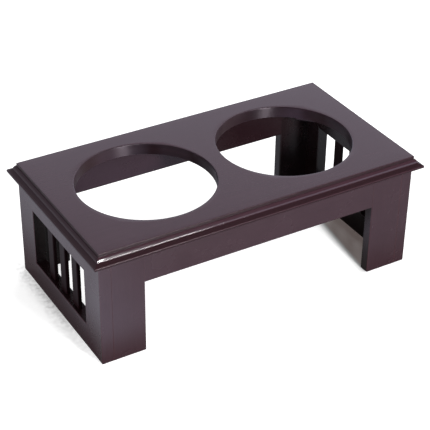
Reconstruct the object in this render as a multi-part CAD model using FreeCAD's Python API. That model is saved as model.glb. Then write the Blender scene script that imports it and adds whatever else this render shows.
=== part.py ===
import FreeCAD, Part
import os

# Raised stand for two drop-in feeding bowls, in lacquered wood. Sizes are in millimetres.
# The origin is on the floor under the middle of the stand, with +X along it and +Z up.
# The front is towards -Y.

# Holes that the bowls hang in, and the flat top left around them, which size the stand
hole_radius = 112.5
middle_land = 31.5
end_land = 43.25
side_land = 35.0
rim_round = 1.4

# Height of the stand, its boards, and how far the flat top stands out past the legs
stand_height = 205.0
top_thickness = 19.5
end_thickness = 20.0
board_thickness = 18.0
leg_width = 76.0
apron_height = 57.0
leg_setback = 1.5

# Frame of each end, around its window
stile_width = 53.0
top_rail_height = 41.5
bottom_rail_height = 43.0

# Upright slats in the window
slat_count = 3
slat_width = 19.0
slat_thickness = 7.0
slat_gap = 24.0
slat_round = 1.6

# Moulded edge of the top, from the flat face outwards and down
top_arris = 0.8
quirk_drop = 4.8
quirk_shelf = 0.9
bead_reach = 3.9
bead_drop = 7.0
cove_reach = 5.8
cove_drop = 2.6
lip_reach = 2.0
nose_drop = 2.2
lip_foot = 1.4
bead_bulge_share = 0.13
cove_bulge_share = 0.20
nose_bulge_share = 0.20

# Rounded arrises, and the fine V at the joints that show on the front and the back
edge_round = 2.0
window_round = 1.2
corner_seam = 0.45
apron_seam = 0.3

# Tenons, with the shoulder left on each side of them
rail_tenon_length = 18.0
rail_tenon_thickness = 8.0
rail_shoulder = 8.0
apron_tenon_length = 18.0
apron_tenon_thickness = 7.0
apron_shoulder = 9.0
slat_tenon_length = 8.0
slat_tenon_thickness = 4.0
slat_shoulder = 3.0

# Dowels from each stile into the leg beside it
dowel_count = 2
dowel_radius = 4.0
dowel_chamfer = 1.0
dowel_in_stile = 12.0
dowel_in_leg = 18.0
dowel_inset = 45.0

# Corner blocks and the screws that go up through them into the top
corner_side = 30.0
corner_height = 30.0
corner_blunt = 6.0
screw_radius = 2.0
screw_head_radius = 4.0
screw_head_rim = 0.4
screw_head_cone = 2.2
screw_point = 5.0
screw_bite = 12.0
screw_inset = 11.0

# Clearances, the overrun of every cut, and how close a point is to count as on a plane
joint_fit = 0.15
joint_end_gap = 0.8
dowel_fit = 0.1
screw_fit = 0.1
overrun = 10.0
on_plane = 0.01

# Places that follow from the sizes
hole_middle = middle_land / 2 + hole_radius
half_length = hole_middle + hole_radius + end_land
top_half_depth = hole_radius + side_land
half_depth = top_half_depth - leg_setback
frame_height = stand_height - top_thickness
inner_length = half_length - end_thickness
inner_depth = half_depth - board_thickness
arch_half = half_length - leg_width
arch_height = frame_height - apron_height
window_half = half_depth - stile_width
window_top = frame_height - top_rail_height
end_middle = half_length - end_thickness / 2
board_middle = half_depth - board_thickness / 2
lip_out = quirk_shelf + bead_reach + cove_reach + lip_reach
quarter_bulge_share = (2 ** 0.5 - 1) / 2

Vec = FreeCAD.Vector
ORIGIN = Vec(0, 0, 0)
ALONG = Vec(1, 0, 0)
BACK = Vec(0, 1, 0)
UP = Vec(0, 0, 1)


def block(x_low, x_high, y_low, y_high, z_low, z_high):
    """Straight block between two corners."""
    return Part.makeBox(x_high - x_low, y_high - y_low, z_high - z_low, Vec(x_low, y_low, z_low))


def outline_face(corners):
    """Flat face on a closed outline of corners."""
    return Part.Face(Part.makePolygon(corners + corners[:1]))


def near(value, target):
    """True for a coordinate that lies on a plane."""
    return abs(value - target) < on_plane


def round_edges(shape, radius, chosen):
    """Rounds the edges that pass a test of their ends and middle."""
    picked = []
    for edge in shape.Edges:
        spots = [vertex.Point for vertex in edge.Vertexes] + [edge.CenterOfMass]
        if chosen(spots):
            picked.append(edge)
    return shape.makeFillet(radius, picked)


def flip_to_back(shape):
    """Twin of a front piece at the back."""
    return shape.mirror(ORIGIN, BACK)


def flip_to_right(shape):
    """Twin of a left piece on the right."""
    return shape.mirror(ORIGIN, ALONG)


def four_corners(shape):
    """A front left piece with its three twins."""
    left = [shape, flip_to_back(shape)]
    return left + [flip_to_right(piece) for piece in left]


def save(name, *solids):
    """Writes one node, whose solids stay separate."""
    shape = solids[0] if len(solids) == 1 else Part.makeCompound(list(solids))
    shape.exportStep(f"parts/{name}.step")


# Top panel


def moulded_stretches():
    """Stops down the moulded edge as (out, down, bulge of the stretch that ends there).

    A quirk and its shelf come first, then a bead, a cove and the nose of the lip.
    """
    bead_out = quirk_shelf + bead_reach
    bead_down = quirk_drop + bead_drop
    cove_out = bead_out + cove_reach
    cove_down = bead_down + cove_drop
    return [
        (-top_arris, 0, 0),
        (0, top_arris, quarter_bulge_share),
        (0, quirk_drop, 0),
        (quirk_shelf, quirk_drop, 0),
        (bead_out, bead_down, bead_bulge_share),
        (cove_out, cove_down, -cove_bulge_share),
        (lip_out, cove_down + nose_drop, nose_bulge_share),
        (lip_out, top_thickness - lip_foot, 0),
        (lip_out - lip_foot, top_thickness, quarter_bulge_share),
    ]


def stretch(start, end, bulge):
    """Straight edge, or an arc that stands off its chord by a share of it, to the left."""
    if bulge == 0:
        return Part.LineSegment(start, end).toShape()
    chord = end - start
    middle = (start + end) / 2 + Vec(-chord.z, 0, chord.x) * bulge
    return Part.Arc(start, middle, end).toShape()


def moulded_bar(half_width, length):
    """Bar along Y with the moulding down both its sides."""
    stops = moulded_stretches()
    right = [Vec(half_width + out, -length / 2, stand_height - down) for out, down, bulge in stops]
    left = [Vec(-stop.x, stop.y, stop.z) for stop in right]
    edges = [stretch(left[0], right[0], 0)]
    for index in range(1, len(stops)):
        edges.append(stretch(right[index - 1], right[index], stops[index][2]))
    edges.append(stretch(right[-1], left[-1], 0))
    for index in range(len(stops) - 1, 0, -1):
        edges.append(stretch(left[index], left[index - 1], stops[index][2]))
    return Part.Face(Part.Wire(edges)).extrude(BACK * length)


def screw_places():
    """The four screws' places in plan."""
    x = inner_length - screw_inset
    y = inner_depth - screw_inset
    return [(-x, -y), (-x, y), (x, -y), (x, y)]


def top_panel():
    """Board with the moulding on all four sides, mitred at the corners, and two bowl holes."""
    margin = lip_out + overrun
    across = moulded_bar(half_length, (top_half_depth + margin) * 2)
    along = moulded_bar(top_half_depth, (half_length + margin) * 2)
    along.rotate(ORIGIN, UP, 90)
    panel = across.common(along)
    for x in (-hole_middle, hole_middle):
        base = Vec(x, 0, frame_height - overrun)
        panel = panel.cut(Part.makeCylinder(hole_radius, top_thickness + overrun * 2, base, UP))
    rims = [edge for edge in panel.Edges if isinstance(edge.Curve, Part.Circle)]
    panel = panel.makeFillet(rim_round, [rim for rim in rims if near(rim.CenterOfMass.z, stand_height)])
    for x, y in screw_places():
        panel = panel.cut(screw_hole(x, y))
    return panel


# Dowels and screws


def dowel(middle):
    """Dowel with chamfered ends, from a stile of the left end into its leg."""
    length = dowel_in_stile + dowel_in_leg
    pin = Part.makeCylinder(dowel_radius, length, middle - ALONG * dowel_in_stile, ALONG)
    rims = [edge for edge in pin.Edges if isinstance(edge.Curve, Part.Circle)]
    return pin.makeChamfer(dowel_chamfer, rims)


def dowel_hole(middle):
    """Hole for one dowel in both boards."""
    depth = dowel_in_stile + dowel_in_leg + joint_end_gap * 2
    start = middle - ALONG * (dowel_in_stile + joint_end_gap)
    return Part.makeCylinder(dowel_radius + dowel_fit, depth, start, ALONG)


def dowel_places():
    """Where the dowels of the front left corner cross from stile to leg."""
    spots = []
    for index in range(dowel_count):
        share = index / (dowel_count - 1)
        z = dowel_inset + (frame_height - dowel_inset * 2) * share
        spots.append(Vec(-inner_length, -board_middle, z))
    return spots


def drill(shape):
    """Bores the dowel holes of the front left corner."""
    for middle in dowel_places():
        shape = shape.cut(dowel_hole(middle))
    return shape


def turned(profile, x, y, z):
    """Solid turned about an upright axis from a profile of (radius, height) points."""
    points = [Vec(x + radius, y, z + height) for radius, height in profile]
    return outline_face(points).revolve(Vec(x, y, z), UP, 360)


screw_length = corner_height + screw_bite
screw_neck = screw_head_rim + screw_head_cone


def screw(x, y):
    """Countersunk wood screw, point up, with its head flush in the corner block."""
    profile = [
        (0, 0),
        (screw_head_radius, 0),
        (screw_head_radius, screw_head_rim),
        (screw_radius, screw_neck),
        (screw_radius, screw_length - screw_point),
        (0, screw_length),
    ]
    return turned(profile, x, y, frame_height - corner_height)


def screw_hole(x, y):
    """Hole for one screw in the corner block and the top."""
    profile = [
        (0, -overrun),
        (screw_head_radius + screw_fit, -overrun),
        (screw_head_radius + screw_fit, screw_head_rim),
        (screw_radius + screw_fit, screw_neck),
        (screw_radius + screw_fit, screw_length + joint_end_gap),
        (0, screw_length + joint_end_gap),
    ]
    return turned(profile, x, y, frame_height - corner_height)


# Front and back: an apron between two legs


def seam_cut(x, width):
    """V along an upright joint in the front face."""
    flare = width + overrun
    corners = [
        Vec(x - flare, -half_depth - overrun, 0),
        Vec(x + flare, -half_depth - overrun, 0),
        Vec(x, -half_depth + width, 0),
    ]
    return outline_face(corners).extrude(UP * frame_height)


def front_blank():
    """Front board with its arch and rounded arrises, before it is parted into legs and apron."""
    board = block(-inner_length, inner_length, -half_depth, -inner_depth, 0, frame_height)
    board = board.cut(block(-arch_half, arch_half, -half_depth - overrun, -inner_depth + overrun,
                            -overrun, arch_height))

    def around_arch(spots):
        between = all(abs(spot.x) < arch_half + on_plane for spot in spots)
        below = all(spot.z < arch_height + on_plane for spot in spots)
        front = all(near(spot.y, -half_depth) for spot in spots)
        rear = all(near(spot.y, -inner_depth) for spot in spots)
        return between and below and (front or rear)

    def under_foot(spots):
        low = all(near(spot.z, 0) for spot in spots)
        against_end = all(near(abs(spot.x), inner_length) for spot in spots)
        return low and not against_end

    board = round_edges(board, edge_round, lambda spots: around_arch(spots) or under_foot(spots))
    for x in (-inner_length, inner_length):
        board = board.cut(seam_cut(x, corner_seam))
    for x in (-arch_half, arch_half):
        board = board.cut(seam_cut(x, apron_seam))
    return board


def apron_tenon(grow, gap):
    """Tenon on the left end of the front apron or, grown and lengthened, its mortise."""
    half_thickness = apron_tenon_thickness / 2 + grow
    return block(-arch_half - apron_tenon_length - gap, -arch_half + grow,
                 -board_middle - half_thickness, -board_middle + half_thickness,
                 arch_height + apron_shoulder - grow, frame_height - apron_shoulder + grow)


def leg():
    """Front left leg, from the floor to the top."""
    reach = block(-inner_length, -arch_half, -half_depth, -inner_depth, 0, frame_height)
    board = front_blank().common(reach)
    return drill(board.cut(apron_tenon(joint_fit, joint_end_gap)))


def apron():
    """Front apron, tenoned into both legs."""
    reach = block(-arch_half, arch_half, -half_depth, -inner_depth, 0, frame_height)
    tenon = apron_tenon(0, 0)
    return front_blank().common(reach).fuse([tenon, flip_to_right(tenon)])


# Ends: a frame of two stiles and two rails, with slats in its window


def end_blank():
    """Left end with its window and rounded arrises, before it is parted into stiles and rails."""
    frame = block(-half_length, -inner_length, -half_depth, half_depth, 0, frame_height)
    frame = frame.cut(block(-half_length - overrun, -inner_length + overrun, -window_half, window_half,
                            bottom_rail_height, window_top))

    def around_window(spots):
        inside = all(abs(spot.y) < window_half + on_plane for spot in spots)
        within = all(bottom_rail_height - on_plane < spot.z < window_top + on_plane for spot in spots)
        outer = all(near(spot.x, -half_length) for spot in spots)
        inner = all(near(spot.x, -inner_length) for spot in spots)
        return inside and within and (outer or inner)

    def outer_arris(spots):
        outer = all(near(spot.x, -half_length) for spot in spots)
        side = all(near(abs(spot.y), half_depth) for spot in spots)
        low = all(near(spot.z, 0) for spot in spots)
        return (outer and side) or (low and (outer or side))

    frame = round_edges(frame, edge_round, outer_arris)
    frame = round_edges(frame, window_round, around_window)
    seam = seam_cut(-inner_length, corner_seam)
    return frame.cut(seam).cut(flip_to_back(seam))


def rail_spans():
    """Bottom and top of the lower rail and of the upper rail."""
    return [(0, bottom_rail_height), (window_top, frame_height)]


def rail_tenon(z_low, z_high, grow, gap):
    """Tenon on the front end of a rail or, grown and lengthened, its mortise."""
    half_thickness = rail_tenon_thickness / 2 + grow
    return block(-end_middle - half_thickness, -end_middle + half_thickness,
                 -window_half - rail_tenon_length - gap, -window_half + grow,
                 z_low + rail_shoulder - grow, z_high - rail_shoulder + grow)


def stile():
    """Front stile of the left end, from the floor to the top."""
    reach = block(-half_length, -inner_length, -half_depth, -window_half, 0, frame_height)
    board = drill(end_blank().common(reach))
    for z_low, z_high in rail_spans():
        board = board.cut(rail_tenon(z_low, z_high, joint_fit, joint_end_gap))
    return board


def slat_places():
    """The slats' middles along the window, front to back."""
    pitch = slat_width + slat_gap
    return [(index - (slat_count - 1) / 2) * pitch for index in range(slat_count)]


def slat_bar(y, thickness, width, z_low, z_high):
    """Upright bar in the middle of the left end's thickness."""
    return block(-end_middle - thickness / 2, -end_middle + thickness / 2,
                 y - width / 2, y + width / 2, z_low, z_high)


def slat_tenons(y, grow, gap):
    """Core of a slat that stands out as a tenon at both ends or, grown, its mortises."""
    width = slat_width - slat_shoulder * 2
    reach = slat_tenon_length + gap
    return slat_bar(y, slat_tenon_thickness + grow * 2, width + grow * 2,
                    bottom_rail_height - reach, window_top + reach)


def slat(y):
    """Slat of the left end, with rounded arrises and a tenon at each end."""
    bar = slat_bar(y, slat_thickness, slat_width, bottom_rail_height, window_top)
    bar = round_edges(bar, slat_round, lambda spots: not near(spots[0].z, spots[1].z))
    return bar.fuse(slat_tenons(y, 0, 0))


def rail(z_low, z_high):
    """Rail of the left end, tenoned into both stiles and mortised for the slats."""
    reach = block(-half_length, -inner_length, -window_half, window_half, z_low, z_high)
    tenon = rail_tenon(z_low, z_high, 0, 0)
    board = end_blank().common(reach).fuse([tenon, flip_to_back(tenon)])
    for y in slat_places():
        board = board.cut(slat_tenons(y, joint_fit, joint_end_gap))
    return board


# Corner blocks under the top


def corner_block():
    """Three-cornered block with a blunt edge, in the front left corner under the top."""
    x = -inner_length
    y = -inner_depth
    z = frame_height - corner_height
    corners = [
        Vec(x, y, z),
        Vec(x + corner_side, y, z),
        Vec(x + corner_side, y + corner_blunt, z),
        Vec(x + corner_blunt, y + corner_side, z),
        Vec(x, y + corner_side, z),
    ]
    wedge = outline_face(corners).extrude(UP * corner_height)
    return wedge.cut(screw_hole(x + screw_inset, y + screw_inset))


# The pieces

os.makedirs("parts", exist_ok=True)

save("top_panel", top_panel())

front_apron = apron()
save("apron_front", front_apron)
save("apron_back", flip_to_back(front_apron))

corner_names = ("front_left", "back_left", "front_right", "back_right")
for name, piece in zip(corner_names, four_corners(leg())):
    save(f"leg_{name}", piece)
for name, piece in zip(corner_names, four_corners(stile())):
    save(f"stile_{name}", piece)
for name, piece in zip(corner_names, four_corners(corner_block())):
    save(f"corner_block_{name}", piece)

for place, span in zip(("bottom", "top"), rail_spans()):
    left_rail = rail(*span)
    save(f"rail_{place}_left", left_rail)
    save(f"rail_{place}_right", flip_to_right(left_rail))

for number, y in enumerate(slat_places(), start=1):
    left_slat = slat(y)
    save(f"slat_left_{number}", left_slat)
    save(f"slat_right_{number}", flip_to_right(left_slat))

dowels = []
for middle in dowel_places():
    dowels += four_corners(dowel(middle))
save("leg_dowels", *dowels)
save("top_screws", *[screw(x, y) for x, y in screw_places()])
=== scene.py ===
import math

import bmesh
import bpy
import numpy as np
from mathutils import Matrix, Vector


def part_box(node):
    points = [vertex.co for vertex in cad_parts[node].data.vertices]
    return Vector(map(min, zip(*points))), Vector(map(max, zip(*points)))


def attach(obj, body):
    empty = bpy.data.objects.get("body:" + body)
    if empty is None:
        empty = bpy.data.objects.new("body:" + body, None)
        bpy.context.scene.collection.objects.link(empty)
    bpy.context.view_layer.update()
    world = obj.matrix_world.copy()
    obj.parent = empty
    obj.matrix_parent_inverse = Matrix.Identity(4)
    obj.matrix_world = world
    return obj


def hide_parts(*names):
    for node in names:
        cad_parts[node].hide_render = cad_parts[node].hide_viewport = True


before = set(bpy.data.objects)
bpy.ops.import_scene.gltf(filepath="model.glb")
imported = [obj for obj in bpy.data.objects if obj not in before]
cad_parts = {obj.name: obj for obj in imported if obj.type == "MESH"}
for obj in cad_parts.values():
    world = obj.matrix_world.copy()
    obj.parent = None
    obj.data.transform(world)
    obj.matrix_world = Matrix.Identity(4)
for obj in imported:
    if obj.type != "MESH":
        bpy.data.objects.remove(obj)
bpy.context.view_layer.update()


# End frames: two upright stiles that run to the floor, with a low and a high rail tenoned between
# them. Planed wood under sprayed espresso lacquer, semi-gloss, thinner on the arrises where it is
# rubbed back between coats. Here stand the lacquer's own patterns, which every later piece shares,
# and a mask of painted shade that darkens the faces inside the stand.

mm = 0.001
sheet_rows = 8
sheet_step = (220, -300)
mix_share, mix_first, mix_second, mix_result = 0, 6, 7, 2


def place(tree, kind, **settings):
    """Adds a node at the next free spot of its sheet, column by column, and sets its properties."""
    column, row = divmod(len(tree.nodes), sheet_rows)
    node = tree.nodes.new(kind)
    node.location = (column * sheet_step[0], row * sheet_step[1])
    for name, value in settings.items():
        setattr(node, name, value)
    return node


def feed(tree, socket, value):
    """Sets a socket to a number, vector or colour, or links another socket to it."""
    if isinstance(value, (int, float, tuple)):
        socket.default_value = value
    else:
        tree.links.new(value, socket)


def number(tree, operation, first, second=0.0, third=0.0):
    """Math node between sockets or numbers. Gives its output socket."""
    node = place(tree, "ShaderNodeMath", operation=operation)
    for socket, value in zip(node.inputs, (first, second, third)):
        feed(tree, socket, value)
    return node.outputs[0]


def vector(tree, operation, first, second=(0.0, 0.0, 0.0)):
    """Vector Math node between sockets or vectors. Gives its output socket, for a length a number."""
    node = place(tree, "ShaderNodeVectorMath", operation=operation)
    feed(tree, node.inputs[0], first)
    feed(tree, node.inputs[1], second)
    return node.outputs["Value" if operation == "LENGTH" else "Vector"]


def blend(tree, share, first, second):
    """Colour mix of two sockets or colours by a share. Gives its output socket."""
    node = place(tree, "ShaderNodeMix", data_type="RGBA")
    for index, value in ((mix_share, share), (mix_first, first), (mix_second, second)):
        feed(tree, node.inputs[index], value)
    return node.outputs[mix_result]


def ramp(tree, value, low, high, to_low=0.0, to_high=1.0):
    """Smooth step of a value, to_low up to low and to_high from high on. Gives its output socket."""
    node = place(tree, "ShaderNodeMapRange", interpolation_type="SMOOTHSTEP")
    limits = {"From Min": low, "From Max": high, "To Min": to_low, "To Max": to_high}
    for label, limit in limits.items():
        node.inputs[label].default_value = limit
    tree.links.new(value, node.inputs["Value"])
    return node.outputs[0]


def fall(tree, value, low, high):
    """Smooth step down: 1 up to low and 0 from high on. Gives its output socket."""
    return ramp(tree, value, low, high, to_low=1.0, to_high=0.0)


def noise(tree, where, scale, detail, roughness):
    """Fractal noise over a vector. Gives its value socket."""
    node = place(tree, "ShaderNodeTexNoise")
    node.inputs["Scale"].default_value = scale
    node.inputs["Detail"].default_value = detail
    node.inputs["Roughness"].default_value = roughness
    tree.links.new(where, node.inputs["Vector"])
    return node.outputs[0]


def object_place(tree):
    """Place on the object, in metres."""
    return place(tree, "ShaderNodeTexCoord").outputs["Object"]


def parted(tree, value):
    """The x, y and z of a vector, as three sockets."""
    node = place(tree, "ShaderNodeSeparateXYZ")
    tree.links.new(value, node.inputs[0])
    return node.outputs


def new_pattern(name, inputs, outputs):
    """Empty node group with named sockets, given as (name, kind) pairs."""
    tree = bpy.data.node_groups.new(name, "ShaderNodeTree")
    for label, kind in inputs:
        tree.interface.new_socket(name=label, in_out="INPUT", socket_type=kind)
    for label, kind in outputs:
        tree.interface.new_socket(name=label, in_out="OUTPUT", socket_type=kind)
    return tree, place(tree, "NodeGroupInput").outputs, place(tree, "NodeGroupOutput").inputs


def arris_pattern():
    """Rubbed arrises of a board between two corners.

    The distance from a face to the nearest arris is the middle one of the three distances
    to the board's planes. Both x and y are taken without their sign, so twins share a board.
    Noise makes the rubbed strip 0.2 to 1.8 times its width.
    """
    tree, given, result = new_pattern(
        "rubbed_arrises",
        [("Low", "NodeSocketVector"), ("High", "NodeSocketVector"), ("Width", "NodeSocketFloat")],
        [("Rubbed", "NodeSocketFloat")],
    )
    where = object_place(tree)
    folded = vector(tree, "ABSOLUTE", where)
    nearest = vector(tree, "MINIMUM", vector(tree, "SUBTRACT", folded, given["Low"]),
                     vector(tree, "SUBTRACT", given["High"], folded))
    across, deep, tall = parted(tree, nearest)
    pair_low = number(tree, "MINIMUM", across, deep)
    pair_high = number(tree, "MAXIMUM", across, deep)
    middle = number(tree, "MAXIMUM", pair_low, number(tree, "MINIMUM", pair_high, tall))
    least_width = 0.2
    more_width = 1.6
    uneven = noise(tree, where, scale=240.0, detail=3.0, roughness=0.6)
    wander = number(tree, "MULTIPLY_ADD", uneven, more_width, least_width)
    share = number(tree, "DIVIDE", middle, number(tree, "MULTIPLY", given["Width"], wander))
    tree.links.new(fall(tree, share, 0.0, 1.0), result["Rubbed"])
    return tree


def lacquer_pattern():
    """Sprayed lacquer over planed wood.

    Stretch sets the run of the grain: noise over the place times it gives long fine pores.
    Round noise of a few millimetres is the lacquer's orange peel, and slow noise its clouds.
    """
    tree, given, result = new_pattern(
        "sprayed_lacquer",
        [("Stretch", "NodeSocketVector")],
        [("Pores", "NodeSocketFloat"), ("Cloud", "NodeSocketFloat"), ("Height", "NodeSocketFloat")],
    )
    fine_share = 0.7
    pore_share_of_height = 0.5
    pore_levels = (0.38, 0.66)
    cloud_levels = (0.3, 0.7)
    where = object_place(tree)
    drawn = vector(tree, "MULTIPLY", where, given["Stretch"])
    fine = noise(tree, drawn, scale=900.0, detail=4.0, roughness=0.65)
    broad = noise(tree, drawn, scale=160.0, detail=2.0, roughness=0.5)
    grain = number(tree, "ADD", number(tree, "MULTIPLY", fine, fine_share),
                   number(tree, "MULTIPLY", broad, 1 - fine_share))
    pores = ramp(tree, grain, *pore_levels)
    peel = noise(tree, where, scale=420.0, detail=2.0, roughness=0.5)
    drift = noise(tree, where, scale=22.0, detail=3.0, roughness=0.55)
    height = number(tree, "ADD", number(tree, "MULTIPLY", pores, pore_share_of_height),
                    number(tree, "MULTIPLY", peel, 1 - pore_share_of_height))
    tree.links.new(pores, result["Pores"])
    tree.links.new(ramp(tree, drift, *cloud_levels), result["Cloud"])
    tree.links.new(height, result["Height"])
    return tree


def inside_shade_pattern():
    """1 on what lies 2 mm or more behind the outer faces of the stand, where painted shade darkens it."""
    tree, _, result = new_pattern("painted_shade_inside", [], [("Darkened", "NodeSocketFloat")])
    end_face = 284.0 * mm
    front_face = 146.0 * mm
    deepest = 2.0 * mm
    shallowest = 0.5 * mm
    across, deep, _ = parted(tree, object_place(tree))
    outer = [ramp(tree, number(tree, "ABSOLUTE", way), face - deepest, face - shallowest)
             for way, face in ((across, end_face), (deep, front_face))]
    darkened = number(tree, "SUBTRACT", 1.0, number(tree, "MAXIMUM", *outer))
    tree.links.new(darkened, result["Darkened"])
    return tree


arris_group = arris_pattern()
lacquer_group = lacquer_pattern()
inside_shade_group = inside_shade_pattern()

espresso = (0.046, 0.0190, 0.0265, 1.0)
espresso_cloud = (0.049, 0.0205, 0.0285, 1.0)
espresso_pore = (0.031, 0.0125, 0.0165, 1.0)
espresso_thin = (0.105, 0.044, 0.047, 1.0)
# Painted shade: the colour that faces inside the stand are darkened towards
inside_shade_colour = (0.0075, 0.0020, 0.0022, 1.0)
pore_share = 0.35
cloud_dulling = 0.03
lacquer_index = 1.5


def new_material(name):
    """Material with nodes. Gives it with its sheet and its shader."""
    material = bpy.data.materials.new(name)
    material.use_nodes = True
    return material, material.node_tree, material.node_tree.nodes["Principled BSDF"]


def use_pattern(tree, pattern, **values):
    """Places a pattern's group with values for its inputs, and gives its output sockets."""
    group = place(tree, "ShaderNodeGroup", node_tree=pattern)
    for label, value in values.items():
        group.inputs[label.capitalize()].default_value = value
    return group.outputs


def lacquer(name, stretch, low, high, arris_width=1.6 * mm, body=espresso, body_cloud=espresso_cloud,
            gloss=0.25, shine=0.5, bump_depth=0.02 * mm, rub=0.35, inside=0.62, ringed=False):
    """Espresso lacquer on a board between two folded corners, with its grain drawn along it.

    Pores lie over the cloudy body colour, then paler rubbed arrises, then painted shade that darkens
    the faces inside the stand. A ringed board takes its relief from the pores, without the peel.
    """
    material, tree, shader = new_material(name)
    film = use_pattern(tree, lacquer_group, stretch=stretch)
    worn = use_pattern(tree, arris_group, low=low, high=high, width=arris_width)
    shade_mask = use_pattern(tree, inside_shade_group)
    colour = blend(tree, film["Cloud"], body, body_cloud)
    for mask, share, coat in ((film["Pores"], pore_share, espresso_pore),
                              (worn["Rubbed"], rub, espresso_thin),
                              (shade_mask["Darkened"], inside, inside_shade_colour)):
        colour = blend(tree, number(tree, "MULTIPLY", mask, share), colour, coat)
    tree.links.new(colour, shader.inputs["Base Color"])
    dull = number(tree, "MULTIPLY_ADD", film["Cloud"], cloud_dulling, gloss)
    tree.links.new(dull, shader.inputs["Roughness"])
    bump = place(tree, "ShaderNodeBump")
    bump.inputs["Strength"].default_value = 1.0
    bump.inputs["Distance"].default_value = bump_depth
    tree.links.new(film["Pores" if ringed else "Height"], bump.inputs["Height"])
    tree.links.new(bump.outputs[0], shader.inputs["Normal"])
    shader.inputs["IOR"].default_value = lacquer_index
    shader.inputs["Specular IOR Level"].default_value = shine
    return material


def dress(material, *names):
    """Gives CAD nodes a material."""
    for name in names:
        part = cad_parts[name].data
        part.materials.clear()
        part.materials.append(material)


def folded_box(name):
    """Corners of a node with x and y taken without their sign. One that spans the middle is even."""
    low, high = (np.array(corner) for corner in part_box(name))
    spans = low * high < 0
    near, far = np.sort(np.abs(np.stack([low, high])), axis=0)
    near[spans] = -far[spans]
    near[2], far[2] = low[2], high[2]
    return tuple(near), tuple(far)


# The pattern is drawn out where its stretch is small, so that is the way the grain runs
grain_up = (1.0, 1.0, 0.05)
grain_across = (0.05, 1.0, 1.0)
grain_deep = (1.0, 0.05, 1.0)
corners = ("front_left", "back_left", "front_right", "back_right")
sides = ("left", "right")
rail_painted_tone = (0.045, 0.0225, 0.029, 1.0)

# inside is the share of painted shade on the faces inside the stand
dress(lacquer("stile_lacquer", grain_up, *folded_box("stile_front_left"), inside=0.95),
      *("stile_" + corner for corner in corners))
# The bottom rails take a greyer copy of the lacquer: a painted reflection of the paper below them
for height, coat in (("bottom", rail_painted_tone), ("top", espresso)):
    dress(lacquer(f"rail_{height}_lacquer", grain_deep, *folded_box(f"rail_{height}_left"),
                  body=coat, body_cloud=coat, shine=0.56, inside=0.95),
          *(f"rail_{height}_{side}" for side in sides))


# Slats: three thin uprights in the window of each end, stub-tenoned into both rails. Ripped wood
# with softened arrises, lacquered with the frames, with hardly any shine in the recess, where painted
# shade darkens them. The first and the third of an end are twins.

for twin, rows in (("outer", "13"), ("middle", "2")):
    dress(lacquer(f"slat_{twin}_lacquer", grain_up, *folded_box(f"slat_left_{rows[0]}"),
                  arris_width=1.2 * mm, gloss=0.32, shine=0.07, inside=0.85),
          *(f"slat_{side}_{row}" for side in sides for row in rows))


# Front and back: an apron tenoned between two flat legs, which stand against the end frames.
# Planed boards, glued edge to edge and lacquered together, so the joints show as fine lines.

dress(lacquer("leg_lacquer", grain_up, *folded_box("leg_front_left"), inside=0.85),
      *("leg_" + corner for corner in corners))
dress(lacquer("apron_lacquer", grain_across, *folded_box("apron_front")), "apron_front", "apron_back")


# Dowels: two in each corner, glued in from the stile into the leg, where nothing shows of them.
# Turned beech, bare: pinkish straw with short dark flecks along the grain.

beech_straw = (0.62, 0.42, 0.25, 1.0)
beech_fleck = (0.36, 0.20, 0.11, 1.0)


def bare(name, stretch, body, fleck, smoothest, dullest):
    """Stuff without lacquer: flecks over a body colour, and clouds in its dullness."""
    material, tree, shader = new_material(name)
    film = use_pattern(tree, lacquer_group, stretch=stretch)
    tree.links.new(blend(tree, film["Pores"], body, fleck), shader.inputs["Base Color"])
    dull = ramp(tree, film["Cloud"], 0.0, 1.0, smoothest, dullest)
    tree.links.new(dull, shader.inputs["Roughness"])
    return material


dress(bare("dowel_beech", grain_across, beech_straw, beech_fleck, smoothest=0.55, dullest=0.7),
      "leg_dowels")


# Corner blocks: three-cornered blocks glued and screwed in the corners under the top.
# Sawn offcuts that got one coat of the same lacquer.

dress(lacquer("corner_block_lacquer", grain_up, *folded_box("corner_block_front_left")),
      *("corner_block_" + corner for corner in corners))


# Top panel: one board with an ogee moulding run along all four edges and two bowl holes bored
# through, whose upper rims are rounded over. The lacquer softens every crease of the moulding and
# is glossiest on its bead, and the walls of the holes keep the fine rings of the cutter.

root = "root"
hole_radius = 112.5 * mm
hole_middle = 128.25 * mm
rim_round = 1.4 * mm
rim_ease = 0.4 * mm
rim_points = 7
body_half = np.array((284.0, 147.5)) * mm
panel_top = 205.0 * mm
panel_thick = 19.5 * mm
panel_bottom = panel_top - panel_thick
mitre_ease = 0.7 * mm
mitre_points = 5
flat_inset = 1.6 * mm
underside_inset = 0.8 * mm
crease_ease = 0.2 * mm
crease_angle = math.radians(28)
rays_per_hole = 144
corner_clear = 3 * mm
hair = 1e-7
merged_within = 0.002 * mm

# Stops down the moulded edge in mm: out, down, and the bulge of the stretch that ends there
moulding_stops = np.array([
    (-0.8, 0.0, 0.0),
    (0.0, 0.8, 0.2071),
    (0.0, 4.8, 0.0),
    (0.9, 4.8, 0.0),
    (4.33, 9.24, 0.051),
    (4.8, 11.8, 0.068),
    (10.6, 14.4, -0.20),
    (12.6, 16.6, 0.20),
    (12.6, 18.1, 0.0),
    (11.2, 19.5, 0.2071),
])
bead_stops = (3, 5)


def bowed(start, end, bulge, count):
    """Points from one end of a chord to the other on the arc that stands off it by a share of it.

    The arc turns by four times the arctangent of twice the bulge, and its radius is half the
    chord over the sine of half that turn. Each point is the radius times the sine of its own
    turn along the chord, and times the cosine, less the cosine at the ends, off it.
    """
    share = np.linspace(-1, 1, count)[:, None]
    chord = end - start
    if bulge == 0:
        return start + chord * (share + 1) / 2
    half_turn = 2 * np.arctan(2 * bulge)
    radius = np.linalg.norm(chord) / 2 / np.sin(half_turn)
    run = chord / np.linalg.norm(chord)
    off = np.array((-run[1], run[0]))
    turn = share * half_turn
    rise = radius * (np.cos(turn) - np.cos(half_turn))
    return (start + end) / 2 + run * radius * np.sin(turn) + off * rise


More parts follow.
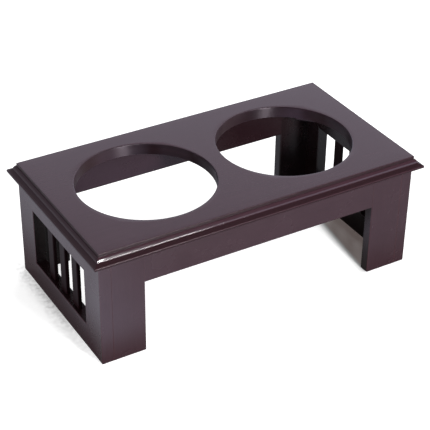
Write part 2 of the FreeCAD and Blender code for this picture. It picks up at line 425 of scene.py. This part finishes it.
def moulding_profile():
    """Section of the moulded edge as (out, down), from the flat face round to the underside.

    The stops are joined by lines and arcs, walked in equal small steps and averaged with a bell
    curve, which softens the creases. Points are then kept where length and turning add up to
    equal amounts: 1.4 mm of length counts as much as 11 degrees of turning.
    """
    points_per_stretch = 60
    run_on = (3 * mm, 0)
    walk = 0.05 * mm
    bell_widths = 4
    spacing = 1.4 * mm
    spacing_turn = math.radians(11)
    ends = moulding_stops[:, :2] * (mm, -mm)
    pieces = [bowed(ends[i - 1], ends[i], moulding_stops[i, 2], points_per_stretch)[1:]
              for i in range(1, len(ends))]
    line = np.vstack([ends[0] - run_on, ends[:1], *pieces, ends[-1] - run_on])
    length = np.concatenate([[0], np.cumsum(np.linalg.norm(np.diff(line, axis=0), axis=1))])
    even = np.arange(0, length[-1], walk)
    line = np.stack([np.interp(even, length, line[:, axis]) for axis in (0, 1)], axis=1)
    reach = int(bell_widths * crease_ease / walk)
    bell = np.exp(-0.5 * (np.arange(-reach, reach + 1) * walk / crease_ease) ** 2)
    bell /= bell.sum()
    line = np.stack([np.convolve(line[:, axis], bell, mode="valid") for axis in (0, 1)], axis=1)
    upper = np.arange(len(line)) < len(line) // 2
    too_far_in = np.where(upper, line[:, 0] < -flat_inset, line[:, 0] < ends[-1, 0] - underside_inset)
    line = line[~too_far_in]
    step = np.diff(line, axis=0)
    heading = np.unwrap(np.arctan2(step[:, 1], step[:, 0]))
    turning = np.concatenate([[0], np.abs(np.diff(heading)), [0]])
    effort = np.concatenate([[0], np.cumsum(np.linalg.norm(step, axis=1))]) / spacing
    effort = effort + np.cumsum(turning) / spacing_turn
    picks = np.searchsorted(effort, np.linspace(0, effort[-1], int(effort[-1]) + 1))
    line = line[np.unique(np.clip(picks, 0, len(line) - 1))]
    line[0] = (-flat_inset, 0)
    return line * (1, -1)


def half_outline():
    """Outline of the flat right of the middle, as points and the way each moves outwards.

    A ray from the hole's middle at each of the even angles meets the outline. The two outer
    corners are small arcs and move both ways, the ends of the middle line only along y.
    """
    wide, deep = body_half - flat_inset
    angle = np.arange(rays_per_hole) * (2 * np.pi / rays_per_hole)
    way = np.stack([np.cos(angle), np.sin(angle)], axis=1)
    with np.errstate(divide="ignore"):
        to_side = np.where(way[:, 0] > 0, (wide - hole_middle) / way[:, 0], -hole_middle / way[:, 0])
        to_edge = deep / np.abs(way[:, 1])
    spots = np.array((hole_middle, 0)) + way * np.minimum(np.abs(to_side), to_edge)[:, None]
    on_end = spots[:, 0] > wide - hair
    on_edge = np.abs(spots[:, 1]) > deep - hair
    shift = np.stack([on_end, np.sign(spots[:, 1]) * on_edge], axis=1)
    near_end = (spots[:, 0] > wide - corner_clear) | (spots[:, 0] < corner_clear)
    crowded = (np.abs(spots[:, 1]) > deep - corner_clear) & near_end
    spots, shift = spots[~crowded], shift[~crowded]
    bend = np.linspace(0, np.pi / 2, mitre_points)
    for up in (-1, 1):
        corner = np.stack([wide - mitre_ease * (1 - np.cos(bend)),
                           up * (deep - mitre_ease * (1 - np.sin(bend)))], axis=1)
        spots = np.vstack([spots, corner, [(0, up * deep)]])
        shift = np.vstack([shift, np.tile((1, up), (len(bend), 1)), [(0, up)]])
    order = np.argsort(np.arctan2(spots[:, 1], spots[:, 0] - hole_middle))
    return spots[order], shift[order]


def grid_faces(rows, columns, first):
    """Four-sided faces of a grid whose rows close on themselves.

    Each joins a point, the next in its row, and these two in the next row.
    """
    row, column = np.meshgrid(np.arange(rows - 1), np.arange(columns), indexing="ij")
    following = (column + 1) % columns
    corners_of = [row * columns + column, row * columns + following,
                  (row + 1) * columns + following, (row + 1) * columns + column]
    return np.stack(corners_of, axis=-1).reshape(-1, 4) + first


def raised(flat, height):
    """Points in plan lifted to a height, one for all or one for each row."""
    return np.concatenate([flat, np.broadcast_to(height, flat.shape[:-1] + (1,))], axis=-1)


panel_points, panel_faces, panel_finish = [], [], []
top_finish, wall_finish, quirk_finish, lip_finish, end_finish, bead_finish = range(6)


def add_grid(points, finish):
    """Adds a grid of points, as rows that close, with the number of its finish."""
    rows, columns = points.shape[:2]
    first = sum(len(block) for block in panel_points)
    panel_points.append(points.reshape(-1, 3))
    panel_faces.append(grid_faces(rows, columns, first))
    panel_finish.append(np.broadcast_to(finish, (rows - 1, columns)).reshape(-1))


# Flat faces and hole walls: the outline's rays, from a hole's rim out to the flat's edge, and down
# the hole at the rim's quarter round, at the rings and at the eased lower rim. Then the left half.
profile = moulding_profile()
outline, outwards = half_outline()
spokes = outline - (hole_middle, 0)
spokes /= np.linalg.norm(spokes, axis=1)[:, None]
foot_out = profile[-1, 0] + flat_inset
flat_shares = np.array((0.0, 0.12, 0.3, 0.6, 1.0))[:, None, None]
ring_depths = np.array((8.0, 14.0)) * mm
turn = np.linspace(0, np.pi / 2, rim_points)
wall_radius = np.concatenate([hole_radius + rim_round * (1 - np.sin(turn)),
                              np.full(len(ring_depths) + 1, hole_radius), [hole_radius + rim_ease]])
wall_height = np.concatenate([panel_top - rim_round * (1 - np.cos(turn)),
                              panel_top - ring_depths, [panel_bottom + rim_ease, panel_bottom]])
hole_spot = np.array((hole_middle, 0))
for mirror in ((1, 1), (-1, 1)):
    for height, rim_radius, grow in ((panel_top, wall_radius[0], 0.0),
                                     (panel_bottom, wall_radius[-1], foot_out)):
        inner = hole_spot + spokes * rim_radius
        outer = outline + outwards * grow
        add_grid(raised((inner * (1 - flat_shares) + outer * flat_shares) * mirror, height), top_finish)
    rings = hole_spot + spokes[None] * wall_radius[:, None, None]
    add_grid(raised(rings * mirror, wall_height[:, None, None]), wall_finish)

# Moulded edge: the profile carried round the outline of both halves, in the order of its angles
rim = np.abs(outwards).sum(axis=1) > 0
loop = np.vstack([outline[rim], outline[rim] * (-1, 1)])
loop_way = np.vstack([outwards[rim], outwards[rim] * (-1, 1)])
order = np.argsort(np.arctan2(loop[:, 1], loop[:, 0]))
loop, loop_way = loop[order], loop_way[order]
fresh = np.linalg.norm(loop - np.roll(loop, 1, axis=0), axis=1) > hair
loop, loop_way = loop[fresh], loop_way[fresh]
edge = raised(loop[None] + loop_way[None] * (profile[:, :1, None] + flat_inset),
              panel_top - profile[:, 1:2, None])
bead_from, bead_to = (int(np.argmin(np.abs(profile - moulding_stops[stop, :2] * mm).sum(axis=1)))
                      for stop in bead_stops)
along_end = (loop_way[:, 1] == 0) | (np.roll(loop_way[:, 1], -1) == 0)
for rows, finish in ((slice(0, bead_from + 1), quirk_finish),
                     (slice(bead_from, bead_to + 1), bead_finish),
                     (slice(bead_to, None), lip_finish)):
    add_grid(edge[rows], np.where(along_end, end_finish, finish))

panel_mesh = bpy.data.meshes.new("moulded_top")
panel_mesh.from_pydata(np.vstack(panel_points).tolist(), [], np.vstack(panel_faces).tolist())
panel_mesh.polygons.foreach_set("material_index", np.concatenate(panel_finish).astype(np.int32))
shell = bmesh.new()
shell.from_mesh(panel_mesh)
bmesh.ops.remove_doubles(shell, verts=shell.verts, dist=merged_within)
bmesh.ops.recalc_face_normals(shell, faces=shell.faces)
shell.to_mesh(panel_mesh)
shell.free()
panel_mesh.shade_smooth()
panel_mesh.set_sharp_from_angle(angle=crease_angle)
panel = bpy.data.objects.new("moulded_top", panel_mesh)
bpy.context.scene.collection.objects.link(panel)

# Finishes. The bands of painted shade and their fade are in mm, down from the top: the quirk, the
# cove and the foot of the lip
# The ends of the moulding take a greyer copy of the lacquer: painted light and reflection, toned as light
# falls on the ends
end_painted_tone = (0.044, 0.028, 0.0335, 1.0)
crease_shade_colour = (0.020, 0.0085, 0.0098, 1.0)
shaded_bands = ((0.9, 4.8), (11.9, 14.6), (17.0, 19.5))
shade_fade = 0.4
shade_share = 0.7
# Hole walls: painted shade, nearly black, where they face left, and painted light, brown, where they face
# right
ring_shade_painted = (0.0055, 0.0012, 0.0015, 1.0)
ring_cloud = (0.0075, 0.0020, 0.0025, 1.0)
ring_lit_painted = (0.044, 0.024, 0.027, 1.0)
ring_tint = (1.0, 0.86, 0.98, 1.0)
ring_stretch = (0.02, 0.02, 1.0)


def overcoat(material, mask, colour):
    """Lays a colour over a material's base colour by a mask."""
    tree = material.node_tree
    base = tree.nodes["Principled BSDF"].inputs["Base Color"]
    tree.links.new(blend(tree, mask, base.links[0].from_socket, colour), base)


def painted_crease_shade(material):
    """Painted shade in three bands of the moulding, by height: darker in the quirk, the cove and under the
    lip.
    """
    tree = material.node_tree
    height = parted(tree, object_place(tree))[2]
    in_shade = 0.0
    for low, high in shaded_bands:
        below = ramp(tree, height, panel_top - (high + shade_fade) * mm, panel_top - high * mm)
        above = fall(tree, height, panel_top - low * mm, panel_top - (low - shade_fade) * mm)
        in_shade = number(tree, "MAXIMUM", number(tree, "MULTIPLY", below, above), in_shade)
    overcoat(material, number(tree, "MULTIPLY", in_shade, shade_share), crease_shade_colour)
    return material


def hole_wall():
    """Wall of a bowl hole: fine level rings of the cutter under a thin coat.

    The rings draw the glare out upright, so the gloss is anisotropic. Its colour is painted light
    and shade: brown where the wall faces right, and nearly black where it faces left.
    """
    material = lacquer("hole_wall_lacquer", ring_stretch, (-1.0, -1.0, panel_bottom), (1.0, 1.0, panel_top),
                       body=ring_shade_painted, body_cloud=ring_cloud, gloss=0.36, shine=0.75,
                       bump_depth=0.05 * mm, inside=0.0, ringed=True)
    tree = material.node_tree
    facing_right = parted(tree, place(tree, "ShaderNodeNewGeometry").outputs["Normal"])[0]
    overcoat(material, ramp(tree, facing_right, low=-0.35, high=0.50), ring_lit_painted)
    shader = tree.nodes["Principled BSDF"]
    shader.inputs["Specular Tint"].default_value = ring_tint
    shader.inputs["Anisotropic"].default_value = 0.92
    shader.inputs["Anisotropic Rotation"].default_value = 0.25
    return material


def top_lacquer(name, **settings):
    """Lacquer of the panel, with the grain along it and without the painted shade inside the stand."""
    return lacquer(name, grain_across, *folded_box("top_panel"), inside=0.0, **settings)


panel_mesh.materials.append(top_lacquer("top_lacquer", gloss=0.2, bump_depth=0.006 * mm, rub=0.0))
panel_mesh.materials.append(hole_wall())
# The quirk, lip and end moulding lacquers get painted shade in the hollows of the moulding
for name, shine, coat in (("quirk_lacquer", 0.24, espresso), ("lip_lacquer", 0.14, espresso),
                          ("end_moulding_painted_tone", 0.34, end_painted_tone)):
    panel_mesh.materials.append(painted_crease_shade(
        top_lacquer(name, body=coat, body_cloud=coat, gloss=0.33, shine=shine, rub=0.12)))
panel_mesh.materials.append(top_lacquer("bead_lacquer", gloss=0.14, bump_depth=0.004 * mm, rub=0.0))
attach(panel, root)
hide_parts("top_panel")


# Screws: countersunk wood screws, driven up through the corner blocks into the top when it goes on.
# Zinc plate, a pale metal with faint clouds.

zinc_pale = (0.62, 0.62, 0.63, 1.0)
zinc_cloud = (0.44, 0.44, 0.46, 1.0)
zinc = bare("screw_zinc", (1.0, 1.0, 1.0), zinc_pale, zinc_cloud, smoothest=0.3, dullest=0.42)
zinc.node_tree.nodes["Principled BSDF"].inputs["Metallic"].default_value = 1.0
dress(zinc, "top_screws")


# Studio: a white paper floor in a pale room, and five soft lamps. For the camera the paper glows
# white outside two soft patches, one along the foot of the left end and one inside the right end,
# so only these keep the stand's shadow, under a painted outline: partly rendered, partly painted
# shadow. Mirrored in the lacquer, the paper glows as a painted reflection that fades out towards
# the feet.

floor_reach = 6.0
floor_mesh = bpy.data.meshes.new("studio_floor")
floor_mesh.from_pydata(
    [(-floor_reach, -floor_reach, 0), (floor_reach, -floor_reach, 0),
     (floor_reach, floor_reach, 0), (-floor_reach, floor_reach, 0)], [], [(0, 1, 2, 3)])
floor = bpy.data.objects.new("studio_floor", floor_mesh)
bpy.context.scene.collection.objects.link(floor)


def looked_at(tree, to_camera=0.0, to_gloss=0.0, otherwise=0.0):
    """Value that depends on which kind of ray looks: the camera's, a mirrored one or any other."""
    path = place(tree, "ShaderNodeLightPath").outputs
    gloss = number(tree, "MAXIMUM", path["Is Glossy Ray"], path["Is Transmission Ray"])
    unseen = number(tree, "MULTIPLY_ADD", gloss, to_gloss - otherwise, otherwise)
    return number(tree, "MULTIPLY_ADD", path["Is Camera Ray"], to_camera - otherwise, unseen)


def all_of(tree, *factors):
    """Product of several values."""
    product = factors[0]
    for factor in factors[1:]:
        product = number(tree, "MULTIPLY", product, factor)
    return product


def most_of(tree, *values):
    """Greatest of several values."""
    greatest = values[0]
    for value in values[1:]:
        greatest = number(tree, "MAXIMUM", greatest, value)
    return greatest


paper = bpy.data.materials.new("white_paper")
paper.use_nodes = True
tree = paper.node_tree
tree.nodes.clear()
spot = object_place(tree)
across, deep = parted(tree, spot)[:2]
aside = number(tree, "ABSOLUTE", across)
away = number(tree, "ABSOLUTE", deep)
white = (1.0, 1.0, 1.0, 1.0)

# Painted shadow along the left end, over the rendered one: an oval, darkest in the middle, whose edge noise
# makes wander
oval_middle = (-0.284, 0.04, 0.0)
oval_half = (0.036, 0.28)
oval_levels = (0.05, 1.28)
wandering = 0.9
squeezed = vector(tree, "MULTIPLY", vector(tree, "SUBTRACT", spot, oval_middle),
                  (1 / oval_half[0], 1 / oval_half[1], 0.0))
uneven = noise(tree, spot, scale=130.0, detail=3.0, roughness=0.6)
wander = number(tree, "MULTIPLY_ADD", uneven, wandering, vector(tree, "LENGTH", squeezed))
clear_of_left = ramp(tree, wander, *oval_levels)

# Painted shadow inside the right end, over the rendered one: its left edge runs from the front foot back
# and to the right
slant_of_edge = -0.14
left_edge = (0.212, 0.232)
right_edge = (0.270, 0.284)
both_ends = (0.135, 0.150)
slant = number(tree, "MULTIPLY_ADD", deep, slant_of_edge, across)
inside_right = all_of(tree, ramp(tree, slant, *left_edge), fall(tree, across, *right_edge),
                      fall(tree, away, *both_ends))
clear_of_right = number(tree, "SUBTRACT", 1.0, inside_right)

# Glow for the camera, by bands of the floor in metres. The paper is lit too, and near the stand
# the glow only adds what it lacks to white. In the patches little glow is left, least in the right
near_glow = 0.65
back_glow = 0.85
far_glow = 1.0
strip_behind = (0.13, 0.20)
far_aside = (0.45, 1.20)
far_away = (0.60, 1.50)
glow_in_right = 0.05
more_in_left = 0.02
patch_fade = (0.0, 0.06)
painted_shadow_tint = (1.0, 0.62, 0.52, 1.0)
glow_level = most_of(tree, ramp(tree, deep, *strip_behind, near_glow, back_glow),
                     ramp(tree, aside, *far_aside, near_glow, far_glow),
                     ramp(tree, away, *far_away, near_glow, far_glow))
patch_glow = number(tree, "MULTIPLY_ADD", clear_of_right, more_in_left, glow_in_right)
shown_glow = number(tree, "MULTIPLY_ADD", all_of(tree, clear_of_left, clear_of_right),
                    glow_level, patch_glow)
# In the right patch the glow is tinted warm: painted shadow colour
paper_white = blend(tree, ramp(tree, clear_of_right, *patch_fade), painted_shadow_tint, white)

# Mirrored paper, a painted reflection: it glows in front, beside and behind the stand, more on the
# left, and again on a spot under the front of the stand, as if lit through the bowl holes
front_strip = (-0.235, -0.146)
back_strip = (0.142, 0.156)
back_start = (-0.25, -0.05)
side_strip = (0.288, 0.378)
left_light = (-0.30, -0.04)
left_fading = (-0.06, 0.10)
left_at_back = 0.4
least_mirrored = 0.22
left_mirrored = 0.75
hole_mirrored = 0.75
hole_light_right = (0.06, 0.20)
hole_light_left = (-0.16, -0.08)
hole_light_back = (-0.06, 0.02)
hole_light_front = (-0.150, -0.130)
mirrored_tint = (0.97, 1.0, 1.19, 1.0)
mirrored_blush = (1.25, 0.90, 1.35, 1.0)
mirrored_front = (1.05, 1.14, 1.47, 1.0)
in_front = fall(tree, deep, *front_strip)
at_back = all_of(tree, ramp(tree, deep, *back_strip), ramp(tree, across, *back_start))
off_feet = most_of(tree, ramp(tree, aside, *side_strip), at_back, in_front)
leftness = all_of(tree, fall(tree, across, *left_light),
                  ramp(tree, deep, *left_fading, 1.0, left_at_back))
mirrored_level = number(tree, "MULTIPLY_ADD", leftness, left_mirrored, least_mirrored)
painted_hole_spot = all_of(tree, fall(tree, across, *hole_light_right),
                       ramp(tree, across, *hole_light_left),
                       fall(tree, deep, *hole_light_back),
                       ramp(tree, deep, *hole_light_front))
mirrored = number(tree, "MULTIPLY_ADD", painted_hole_spot, hole_mirrored,
                  all_of(tree, off_feet, mirrored_level))
mirrored_white = blend(tree, painted_hole_spot, blend(tree, in_front, mirrored_tint, mirrored_front),
                       mirrored_blush)

diffuse = place(tree, "ShaderNodeBsdfDiffuse")
tree.links.new(looked_at(tree, to_camera=0.65, to_gloss=0.25, otherwise=0.15), diffuse.inputs["Color"])
glow = place(tree, "ShaderNodeEmission")
glow_strength = number(tree, "ADD", all_of(tree, looked_at(tree, to_camera=1.0), shown_glow),
                       all_of(tree, looked_at(tree, to_gloss=1.0), mirrored))
tree.links.new(glow_strength, glow.inputs["Strength"])
glow_colour = blend(tree, looked_at(tree, to_gloss=1.0), paper_white, mirrored_white)
tree.links.new(glow_colour, glow.inputs["Color"])
both = place(tree, "ShaderNodeAddShader")
tree.links.new(diffuse.outputs[0], both.inputs[0])
tree.links.new(glow.outputs[0], both.inputs[1])
tree.links.new(both.outputs[0], place(tree, "ShaderNodeOutputMaterial").inputs["Surface"])
floor_mesh.materials.append(paper)

# Room: white, and as the lacquer mirrors it, bright low down at the back right and dim elsewhere
wall_heights = (0.42, 0.69)
wall_low = (1.15, 1.16, 1.37, 1.0)
wall_high = (0.32, 0.30, 0.36, 1.0)
room_dim = (0.20, 0.17, 0.22, 1.0)
lit_back = (-0.25, 0.35)
lit_right = (-0.35, 0.15)
world = bpy.data.worlds.new("white_room")
bpy.context.scene.world = world
world.use_nodes = True
tree = world.node_tree
sky = tree.nodes["Background"]
rightwards, backwards, upwards = parted(tree, place(tree, "ShaderNodeTexCoord").outputs["Generated"])
wall = blend(tree, ramp(tree, upwards, *wall_heights), wall_low, wall_high)
lit_side = all_of(tree, ramp(tree, backwards, *lit_back), ramp(tree, rightwards, *lit_right))
room = blend(tree, lit_side, room_dim, wall)
tree.links.new(blend(tree, looked_at(tree, to_gloss=1.0), white, room), sky.inputs["Color"])
tree.links.new(looked_at(tree, to_camera=1.1, to_gloss=1.0, otherwise=0.2), sky.inputs["Strength"])


def softbox(name, spot, aim, width, height, watts):
    """Soft lamp at a spot, turned to an aim, with its upper edge level."""
    data = bpy.data.lights.new(name, "AREA")
    data.shape = "RECTANGLE"
    data.size = width
    data.size_y = height
    data.energy = watts
    lamp = bpy.data.objects.new(name, data)
    bpy.context.scene.collection.objects.link(lamp)
    spot, aim = np.array(spot), np.array(aim)
    back = (spot - aim) / np.linalg.norm(spot - aim)
    side = np.cross((0, 0, 1), back)
    side /= np.linalg.norm(side)
    turned = np.eye(4)
    turned[:3, :3] = np.stack([side, np.cross(back, side), back], axis=1)
    turned[:3, 3] = spot
    lamp.matrix_world = Matrix(turned)
    return lamp


# The key lights everything, fill and crown only what is matt, glint and sheen only the gloss
stand_middle = (0, 0, 0.12)
softbox("lamp_key", (0.14, -1.72, 0.92), stand_middle, width=0.26, height=0.4, watts=32.5)
fill = softbox("lamp_fill", (-1.72, -0.32, 0.75), stand_middle, width=0.6, height=0.6, watts=12.2)
crown = softbox("lamp_crown", (0.70, 1.10, 1.70), (0, 0, 0.2), width=0.7, height=0.7, watts=15.0)
glint = softbox("lamp_glint", (0.06, -1.00, 0.12), (-0.1, 0, 0.19), width=0.40, height=0.05, watts=9.0)
sheen = softbox("lamp_sheen", (0.75, -0.95, 0.28), (0, 0, 0.19), width=1.1, height=0.4, watts=2.2)
sheen.data.color = (0.85, 0.93, 1.15)
for lamp in (fill, crown):
    lamp.visible_glossy = False
for lamp in (glint, sheen):
    lamp.visible_diffuse = False


# Camera: a long lens from the front left and above, as in the photograph.
# Its place, lens and shift were solved from the edges that the photograph shows.

frame_pixels = 430
focal_pixels = 1363.8
shift_pixels = (0.20, 0.52)
azimuth = math.radians(-30.75)
elevation = math.radians(33.13)
roll = math.radians(0.733)
distance = 2.2396
target = np.array((-0.00471, -0.00460, 0.10179))
camera_data = bpy.data.cameras.new("camera")
camera = bpy.data.objects.new("camera", camera_data)
bpy.context.scene.collection.objects.link(camera)
bpy.context.scene.camera = camera
camera_data.sensor_width = 36.0
camera_data.lens = focal_pixels / frame_pixels * camera_data.sensor_width
camera_data.shift_x = shift_pixels[0] / frame_pixels
camera_data.shift_y = shift_pixels[1] / frame_pixels
camera_data.clip_start = 0.1
camera_data.clip_end = 50.0
back = np.array((math.sin(azimuth) * math.cos(elevation),
                 -math.cos(azimuth) * math.cos(elevation), math.sin(elevation)))
side = np.array((math.cos(azimuth), math.sin(azimuth), 0.0))
above = np.cross(back, side)
placed = np.eye(4)
placed[:3, 0] = math.cos(roll) * side + math.sin(roll) * above
placed[:3, 1] = math.cos(roll) * above - math.sin(roll) * side
placed[:3, 2] = back
placed[:3, 3] = target + back * distance
camera.matrix_world = Matrix(placed)

bpy.context.scene.view_settings.view_transform = "Standard"
